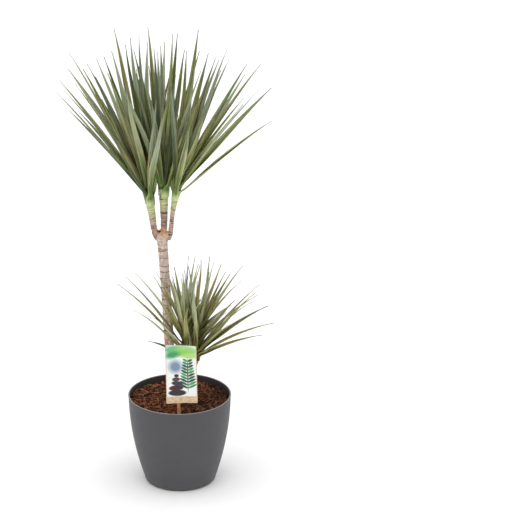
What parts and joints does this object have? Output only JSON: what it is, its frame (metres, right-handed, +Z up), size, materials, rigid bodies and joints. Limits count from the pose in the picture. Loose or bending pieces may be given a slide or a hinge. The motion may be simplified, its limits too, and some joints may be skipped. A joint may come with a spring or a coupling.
{
  "type": "potted dracaena",
  "caption": "Potted dracaena: a tall cane with three leafy heads and a short cane with two, standing in soil in a smooth round dark-grey planter with a plant label.",
  "frame": {"origin": "middle of the planter's flat foot, on the surface that it stands on", "axes": "+Z up along the planter's axis, +X to the right and +Y away as seen from the label's side"},
  "size_m": [0.445, 0.405, 1.0211],
  "materials": {
    "planter": "smooth moulded plastic, dark grey, matt",
    "soil": "loose bark and coir potting mix, red-brown",
    "bark": "rough grey-beige bark with leaf-scar rings, pale green near the leaves",
    "crown_leaf": "satin grey-green blade with cream stripes and thin red-pink margins",
    "low_leaf": "satin olive blade with brown-red margins",
    "label_card": null,
    "label_board": "plain kraft board",
    "label_stake": "dark brown stake"
  },
  "bodies": {
    "root": {"pot": "planter", "soil": "soil", "tall_cane": "bark", "short_cane": "bark", "label_card": "label_card", "label_back": "label_board", "label_stake": "label_stake", "crown_left_leaves_1": "crown_leaf", "crown_left_leaves_2": "crown_leaf", "crown_left_leaves_3": "crown_leaf", "crown_left_leaves_4": "crown_leaf", "crown_left_leaves_5": "crown_leaf", "crown_left_leaves_6": "crown_leaf", "crown_left_leaves_7": "crown_leaf", "crown_left_leaves_8": "crown_leaf", "crown_left_leaves_9": "crown_leaf", "crown_left_leaves_10": "crown_leaf", "crown_left_bud": "crown_leaf", "crown_middle_leaves_1": "crown_leaf", "crown_middle_leaves_2": "crown_leaf", "crown_middle_leaves_3": "crown_leaf", "crown_middle_leaves_4": "crown_leaf", "crown_middle_leaves_5": "crown_leaf", "crown_middle_leaves_6": "crown_leaf", "crown_middle_leaves_7": "crown_leaf", "crown_middle_leaves_8": "crown_leaf", "crown_middle_leaves_9": "crown_leaf", "crown_middle_leaves_10": "crown_leaf", "crown_middle_bud": "crown_leaf", "crown_right_leaves_1": "crown_leaf", "crown_right_leaves_2": "crown_leaf", "crown_right_leaves_3": "crown_leaf", "crown_right_leaves_4": "crown_leaf", "crown_right_leaves_5": "crown_leaf", "crown_right_leaves_6": "crown_leaf", "crown_right_leaves_7": "crown_leaf", "crown_right_leaves_8": "crown_leaf", "crown_right_leaves_9": "crown_leaf", "crown_right_leaves_10": "crown_leaf", "crown_right_bud": "crown_leaf", "low_left_leaves_1": "low_leaf", "low_left_leaves_2": "low_leaf", "low_left_leaves_3": "low_leaf", "low_left_leaves_4": "low_leaf", "low_left_leaves_5": "low_leaf", "low_left_leaves_6": "low_leaf", "low_left_leaves_7": "low_leaf", "low_left_leaves_8": "low_leaf", "low_left_bud": "low_leaf", "low_right_leaves_1": "low_leaf", "low_right_leaves_2": "low_leaf", "low_right_leaves_3": "low_leaf", "low_right_leaves_4": "low_leaf", "low_right_leaves_5": "low_leaf", "low_right_leaves_6": "low_leaf", "low_right_leaves_7": "low_leaf", "low_right_leaves_8": "low_leaf", "low_right_bud": "low_leaf"}
  },
  "joints": []
}
